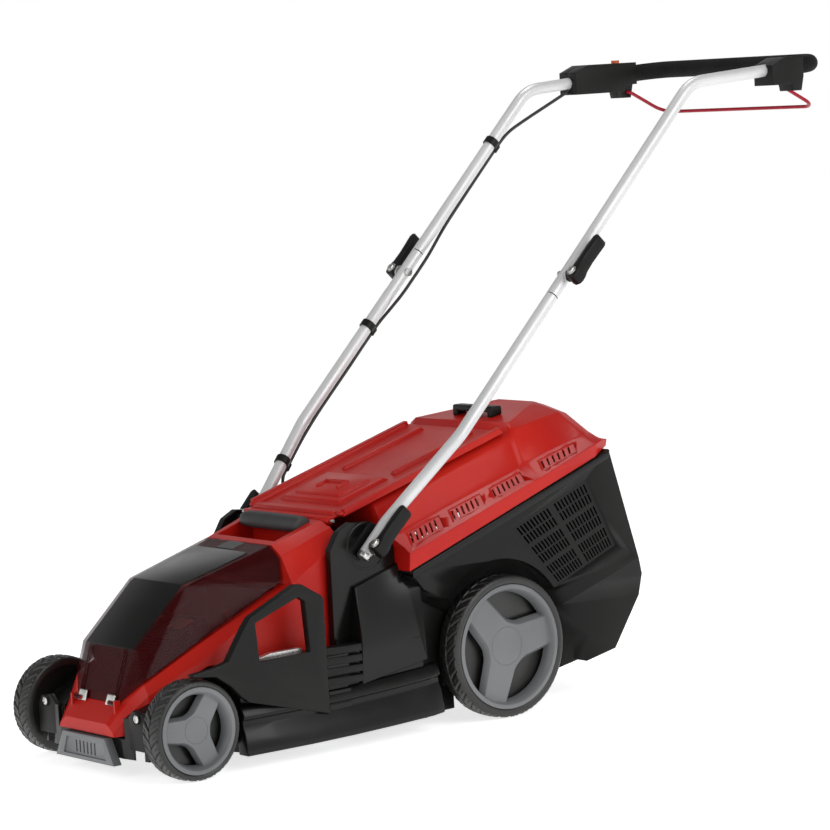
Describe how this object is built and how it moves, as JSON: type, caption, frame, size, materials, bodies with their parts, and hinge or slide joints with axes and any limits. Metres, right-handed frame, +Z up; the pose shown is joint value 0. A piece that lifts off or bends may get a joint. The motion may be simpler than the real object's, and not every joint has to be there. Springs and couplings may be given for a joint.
{
  "type": "cordless rotary lawn mower",
  "caption": "Cordless rotary lawn mower with battery bay under a clear lid, rear grass box, folding U handle, height lever and blade.",
  "frame": {"origin": "on the ground, in the middle of the whole mower's length and width", "axes": "+X to the mower's left, +Y to the rear where the user walks, +Z up"},
  "size_m": [0.4846, 1.4185, 1.013],
  "materials": {
    "hood_red": "gloss",
    "lid_smoke": "gloss",
    "black_plastic": "satin",
    "bay_red": "satin",
    "grip_grey": "matt",
    "bumper_grey": "satin",
    "wheel_black": "matt",
    "cover_grey": "satin",
    "zinc": "bright",
    "blade_steel": "satin",
    "tube_silver": "powder coat",
    "foam_black": "foam",
    "bail_red": "satin",
    "cable_black": "satin",
    "button_orange": "satin"
  },
  "bodies": {
    "chassis": {"deck_housing": "black_plastic", "hood": "hood_red", "carry_handle": "grip_grey", "front_bumper": "bumper_grey", "battery_tray": "bay_red", "controller": "black_plastic", "motor_housing": "black_plastic", "axle_bushes": "black_plastic", "height_grip": "black_plastic", "flap_hinge_pin": "zinc", "lift_spring": "zinc", "cable_tail": "cable_black"},
    "front_axle": {"front_crank_axle": "zinc", "front_axle_nuts": "zinc"},
    "rear_axle": {"rear_crank_axle": "zinc", "rear_axle_nuts": "zinc"},
    "link": {"height_link_rod": "zinc"},
    "front_left_roller": {"front_left_wheel": "wheel_black", "front_left_wheel_cover": "cover_grey"},
    "front_right_roller": {"front_right_wheel": "wheel_black", "front_right_wheel_cover": "cover_grey"},
    "rear_left_roller": {"rear_left_wheel": "wheel_black", "rear_left_wheel_cover": "cover_grey"},
    "rear_right_roller": {"rear_right_wheel": "wheel_black", "rear_right_wheel_cover": "cover_grey"},
    "rotor": {"motor_rotor": "blade_steel", "blade_carrier": "blade_steel", "blade": "blade_steel", "blade_bolt": "zinc"},
    "lid": {"battery_lid": "lid_smoke"},
    "latch": {"lid_latch": "black_plastic"},
    "battery_left": {"battery_pack_left": "black_plastic"},
    "battery_right": {"battery_pack_right": "black_plastic"},
    "battery_catch_left": {"battery_button_left": "button_orange"},
    "battery_catch_right": {"battery_button_right": "button_orange"},
    "key": {"safety_key": "button_orange"},
    "release_lever": {"height_release_lever": "zinc"},
    "flap": {"rear_flap": "hood_red"},
    "grass_box": {"grass_box_lid": "hood_red", "grass_box_body": "black_plastic", "grass_box_handle": "black_plastic"},
    "lower_handle": {"lower_tube_left": "tube_silver", "lower_tube_right": "tube_silver", "handle_bolts": "zinc", "cam_washers": "zinc", "cable_lower": "cable_black", "cable_clips_lower": "black_plastic"},
    "upper_handle": {"upper_handle_tube": "tube_silver", "foam_grip": "foam_black", "bail_clip": "black_plastic", "switch_housing_inner": "black_plastic", "switch_housing_outer": "black_plastic", "cable_upper": "cable_black", "cable_clip_upper": "black_plastic"},
    "pivot_lever_left": {"pivot_cam_lever_left": "black_plastic"},
    "pivot_lever_right": {"pivot_cam_lever_right": "black_plastic"},
    "joint_lever_left": {"joint_cam_lever_left": "black_plastic"},
    "joint_lever_right": {"joint_cam_lever_right": "black_plastic"},
    "bail": {"bail": "bail_red"},
    "lock_off": {"lock_off_button": "button_orange"}
  },
  "joints": [
    {"name": "front_axle_swing", "type": "hinge", "parent": "chassis", "child": "front_axle", "pos_m": [0, -0.60258, 0.05], "axis": [1, 0, 0], "range_deg": [0, 67.5]},
    {"name": "rear_axle_swing", "type": "hinge", "parent": "chassis", "child": "rear_axle", "pos_m": [0, -0.01358, 0.0875], "axis": [1, 0, 0], "range_deg": [0, 67.5]},
    {"name": "link_rod_turn", "type": "hinge", "parent": "front_axle", "child": "link", "pos_m": [0.127, -0.56925, 0.09989], "axis": [1, 0, 0], "range_deg": [-68, 0.5]},
    {"name": "front_left_wheel_spin", "type": "hinge", "parent": "front_axle", "child": "front_left_roller", "pos_m": [0.179, -0.64, 0.075], "axis": [1, 0, 0], "continuous": true},
    {"name": "front_right_wheel_spin", "type": "hinge", "parent": "front_axle", "child": "front_right_roller", "pos_m": [-0.179, -0.64, 0.075], "axis": [1, 0, 0], "continuous": true},
    {"name": "rear_left_wheel_spin", "type": "hinge", "parent": "rear_axle", "child": "rear_left_roller", "pos_m": [0.187, -0.051, 0.1125], "axis": [1, 0, 0], "continuous": true},
    {"name": "rear_right_wheel_spin", "type": "hinge", "parent": "rear_axle", "child": "rear_right_roller", "pos_m": [-0.187, -0.051, 0.1125], "axis": [1, 0, 0], "continuous": true},
    {"name": "rotor_spin", "type": "hinge", "parent": "chassis", "child": "rotor", "pos_m": [0, -0.355, 0.09], "axis": [0, 0, 1], "continuous": true},
    {"name": "lid_open", "type": "hinge", "parent": "chassis", "child": "lid", "pos_m": [0, -0.689, 0.1075], "axis": [1, 0, 0], "range_deg": [0, 80]},
    {"name": "latch_lift", "type": "hinge", "parent": "lid", "child": "latch", "pos_m": [0, -0.438, 0.302], "axis": [1, 0, 0], "range_deg": [0, 12], "stiffness_Nm_per_rad": 0.05, "springref_deg": -5.73},
    {"name": "battery_left_slide", "type": "slide", "parent": "chassis", "child": "battery_left", "axis": [0, 0.9397, 0.342], "range_m": [0, 0.05]},
    {"name": "battery_right_slide", "type": "slide", "parent": "chassis", "child": "battery_right", "axis": [0, 0.9397, 0.342], "range_m": [0, 0.05]},
    {"name": "catch_left_press", "type": "slide", "parent": "battery_left", "child": "battery_catch_left", "axis": [0, 0.342, -0.9397], "range_m": [0, 0.0025], "stiffness_N_per_m": 400, "springref_m": -0.001},
    {"name": "catch_right_press", "type": "slide", "parent": "battery_right", "child": "battery_catch_right", "axis": [0, 0.342, -0.9397], "range_m": [0, 0.0025], "stiffness_N_per_m": 400, "springref_m": -0.001},
    {"name": "key_pull", "type": "slide", "parent": "chassis", "child": "key", "axis": [0, -0.342, 0.9397], "range_m": [0, 0.015]},
    {"name": "release_lever_lift", "type": "hinge", "parent": "chassis", "child": "release_lever", "pos_m": [0.176, -0.511, 0.1565], "axis": [1, 0, 0], "range_deg": [0, 10], "stiffness_Nm_per_rad": 0.05, "springref_deg": -11.46},
    {"name": "flap_open", "type": "hinge", "parent": "chassis", "child": "flap", "pos_m": [0, -0.314, 0.338], "axis": [1, 0, 0], "range_deg": [0, 70]},
    {"name": "grass_box_slide", "type": "slide", "parent": "chassis", "child": "grass_box", "axis": [0, 0.9613, 0.2756], "range_m": [0, 0.25]},
    {"name": "lower_handle_fold", "type": "hinge", "parent": "chassis", "child": "lower_handle", "pos_m": [0, -0.284, 0.298], "axis": [1, 0, 0], "range_deg": [0, 128]},
    {"name": "upper_handle_fold", "type": "hinge", "parent": "lower_handle", "child": "upper_handle", "pos_m": [0, 0.1045, 0.6825], "axis": [-1, 0, 0], "range_deg": [-150, 0]},
    {"name": "pivot_lever_left_open", "type": "hinge", "parent": "lower_handle", "child": "pivot_lever_left", "pos_m": [0.1913, -0.284, 0.298], "axis": [0, 0.7015, -0.7127], "range_deg": [0, 90]},
    {"name": "pivot_lever_right_open", "type": "hinge", "parent": "lower_handle", "child": "pivot_lever_right", "pos_m": [-0.1913, -0.284, 0.298], "axis": [0, -0.7015, 0.7127], "range_deg": [0, 90]},
    {"name": "joint_lever_left_open", "type": "hinge", "parent": "lower_handle", "child": "joint_lever_left", "pos_m": [0.2303, 0.1045, 0.6825], "axis": [0, 0.7083, -0.7059], "range_deg": [0, 90]},
    {"name": "joint_lever_right_open", "type": "hinge", "parent": "lower_handle", "child": "joint_lever_right", "pos_m": [-0.2303, 0.1045, 0.6825], "axis": [0, -0.7083, 0.7059], "range_deg": [0, 90]},
    {"name": "bail_squeeze", "type": "hinge", "parent": "upper_handle", "child": "bail", "pos_m": [0, 0.612, 0.957], "axis": [1, 0, 0], "range_deg": [0, 38], "stiffness_Nm_per_rad": 0.4, "springref_deg": -17.19},
    {"name": "lock_off_press", "type": "slide", "parent": "upper_handle", "child": "lock_off", "axis": [0, 0, -1], "range_m": [0, 0.004], "stiffness_N_per_m": 300, "springref_m": -0.001}
  ],
  "couplings": [
    {"joint": "rear_axle_swing", "follows": "front_axle_swing", "ratio": 1},
    {"joint": "link_rod_turn", "follows": "front_axle_swing", "ratio": -1}
  ]
}
